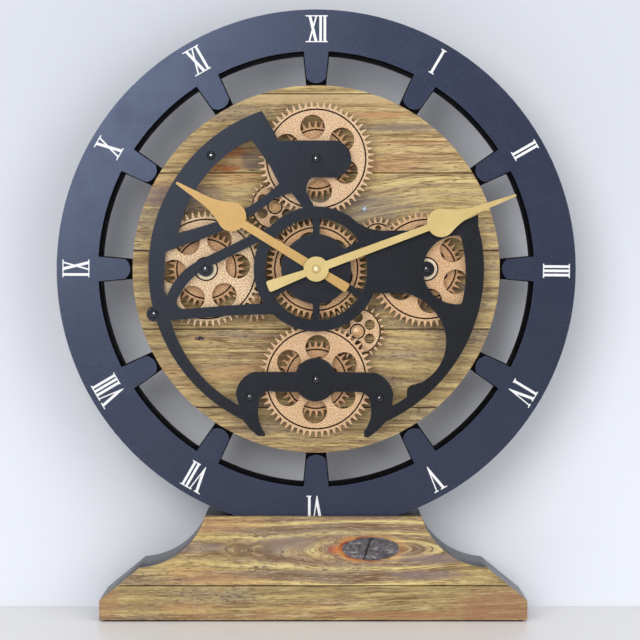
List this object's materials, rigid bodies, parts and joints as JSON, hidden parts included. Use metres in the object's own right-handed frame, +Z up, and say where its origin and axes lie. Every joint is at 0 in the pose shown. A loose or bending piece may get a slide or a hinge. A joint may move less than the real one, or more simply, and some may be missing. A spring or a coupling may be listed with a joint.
{
  "type": "skeleton clock",
  "caption": "Free-standing skeleton mantel clock: slate ring dial, planked wooden disc, pierced plate, turning copper gears and two spade hands on a slotted wooden base.",
  "frame": {"origin": "under the dial's centre line on the base's felt underside, midway along the base's depth", "axes": "+Z up, +X to the right of someone reading the dial, -Y out of the dial towards them"},
  "size_m": [0.3665, 0.0801, 0.4313],
  "materials": {
    "base_paint": "satin grey paint on board",
    "base_wood": "weathered pine plank, matt",
    "felt": "wool felt",
    "steel": "satin steel",
    "dark_steel": "black painted steel",
    "slate_paint": "slate blue-grey satin paint on thin board",
    "ring_black": "black satin paint on board",
    "numeral_white": "white print with a little relief",
    "disc_wood": "weathered planks, matt",
    "backer": "raw fibreboard",
    "plate_black": "charcoal satin paint",
    "copper": "speckled copper finish on laser cut board",
    "gold": "satin pale gold",
    "brass": "satin brass",
    "black_plastic": "moulded black",
    "white_plastic": "moulded white",
    "cell": "plain green dry cell",
    "rubber": "soft rubber",
    "lead_red": "red insulation",
    "lead_black": "black insulation"
  },
  "bodies": {
    "clock_frame": {"axle_collars": "dark_steel", "base_core": "base_paint", "base_felt": "felt", "base_front_lower": "base_wood", "base_front_upper": "base_wood", "base_screws": "steel", "battery_holder": "black_plastic", "bracket_screws": "steel", "bush_nut": "brass", "centre_collar": "brass", "dial_face": "slate_paint", "disc_backer": "backer", "disc_plank_1": "disc_wood", "disc_plank_2": "disc_wood", "disc_plank_3": "disc_wood", "disc_plank_4": "disc_wood", "disc_plank_5": "disc_wood", "disc_plank_6": "disc_wood", "disc_screws": "steel", "front_plate": "plate_black", "gear_cell_1": "cell", "gear_cell_2": "cell", "hand_bush": "brass", "hour_numerals": "numeral_white", "idler_pins": "brass", "lead_motor": "lead_red", "lead_switch": "lead_black", "motor_bracket": "steel", "motor_can": "steel", "motor_gearbox": "white_plastic", "movement_case": "black_plastic", "movement_cell": "cell", "plate_posts": "dark_steel", "plate_screws": "dark_steel", "rim_screws": "steel", "ring_body": "ring_black", "rubber_washer": "rubber", "switch_case": "steel", "wheel_axles": "steel"},
    "minute_hand": {"minute_hand": "gold", "minute_arbor": "steel", "hand_nut": "gold"},
    "hour_hand": {"hour_hand": "gold", "hour_tube": "brass"},
    "centre_gear": {"centre_gear": "copper"},
    "set_knob": {"set_knob": "black_plastic"},
    "switch_slider": {"switch_slider": "black_plastic"},
    "idler_lower_right": {"idler_lower_right": "copper"},
    "idler_upper_left": {"idler_upper_left": "copper", "motor_shaft": "brass"},
    "idler_upper_right": {"idler_upper_right": "copper"},
    "idler_lower_left": {"idler_lower_left": "copper"},
    "wheel_north": {"rear_wheel_north": "copper", "front_wheel_north": "copper"},
    "wheel_east": {"rear_wheel_east": "copper", "front_wheel_east": "copper"},
    "wheel_south": {"rear_wheel_south": "copper", "front_wheel_south": "copper"},
    "wheel_west": {"rear_wheel_west": "copper", "front_wheel_west": "copper"}
  },
  "joints": [
    {"name": "minute_turn", "type": "hinge", "parent": "clock_frame", "child": "minute_hand", "pos_m": [0, 0, 0.248], "axis": [0, 1, 0], "continuous": true},
    {"name": "hour_turn", "type": "hinge", "parent": "clock_frame", "child": "hour_hand", "pos_m": [0, 0, 0.248], "axis": [0, 1, 0], "continuous": true},
    {"name": "knob_turn", "type": "hinge", "parent": "clock_frame", "child": "set_knob", "pos_m": [0, 0, 0.25], "axis": [0, 1, 0], "continuous": true},
    {"name": "centre_spin", "type": "hinge", "parent": "clock_frame", "child": "centre_gear", "pos_m": [0, 0, 0.248], "axis": [0, 1, 0], "continuous": true},
    {"name": "idler_lower_right_spin", "type": "hinge", "parent": "clock_frame", "child": "idler_lower_right", "pos_m": [0.02906, 0, 0.20404], "axis": [0, 1, 0], "continuous": true},
    {"name": "idler_upper_left_spin", "type": "hinge", "parent": "clock_frame", "child": "idler_upper_left", "pos_m": [-0.02906, 0, 0.29196], "axis": [0, 1, 0], "continuous": true},
    {"name": "idler_upper_right_spin", "type": "hinge", "parent": "clock_frame", "child": "idler_upper_right", "pos_m": [0.04351, 0, 0.26943], "axis": [0, 1, 0], "continuous": true},
    {"name": "idler_lower_left_spin", "type": "hinge", "parent": "clock_frame", "child": "idler_lower_left", "pos_m": [-0.04351, 0, 0.22657], "axis": [0, 1, 0], "continuous": true},
    {"name": "wheel_north_spin", "type": "hinge", "parent": "clock_frame", "child": "wheel_north", "pos_m": [0, 0, 0.3254], "axis": [0, 1, 0], "continuous": true},
    {"name": "wheel_east_spin", "type": "hinge", "parent": "clock_frame", "child": "wheel_east", "pos_m": [0.0774, 0, 0.248], "axis": [0, 1, 0], "continuous": true},
    {"name": "wheel_south_spin", "type": "hinge", "parent": "clock_frame", "child": "wheel_south", "pos_m": [0, 0, 0.1706], "axis": [0, 1, 0], "continuous": true},
    {"name": "wheel_west_spin", "type": "hinge", "parent": "clock_frame", "child": "wheel_west", "pos_m": [-0.0774, 0, 0.248], "axis": [0, 1, 0], "continuous": true},
    {"name": "switch_slide", "type": "slide", "parent": "clock_frame", "child": "switch_slider", "axis": [1, 0, 0], "range_m": [0, 0.004]}
  ],
  "couplings": [
    {"joint": "hour_turn", "follows": "minute_turn", "ratio": 0.083333},
    {"joint": "knob_turn", "follows": "minute_turn", "ratio": -1},
    {"joint": "idler_lower_right_spin", "follows": "centre_spin", "ratio": -1.8462},
    {"joint": "idler_upper_left_spin", "follows": "centre_spin", "ratio": -1.8462},
    {"joint": "idler_upper_right_spin", "follows": "centre_spin", "ratio": -2.4},
    {"joint": "idler_lower_left_spin", "follows": "centre_spin", "ratio": -2.4},
    {"joint": "wheel_north_spin", "follows": "centre_spin", "ratio": 1.3333},
    {"joint": "wheel_east_spin", "follows": "centre_spin", "ratio": 1.3333},
    {"joint": "wheel_south_spin", "follows": "centre_spin", "ratio": 1.3333},
    {"joint": "wheel_west_spin", "follows": "centre_spin", "ratio": 1.3333}
  ]
}
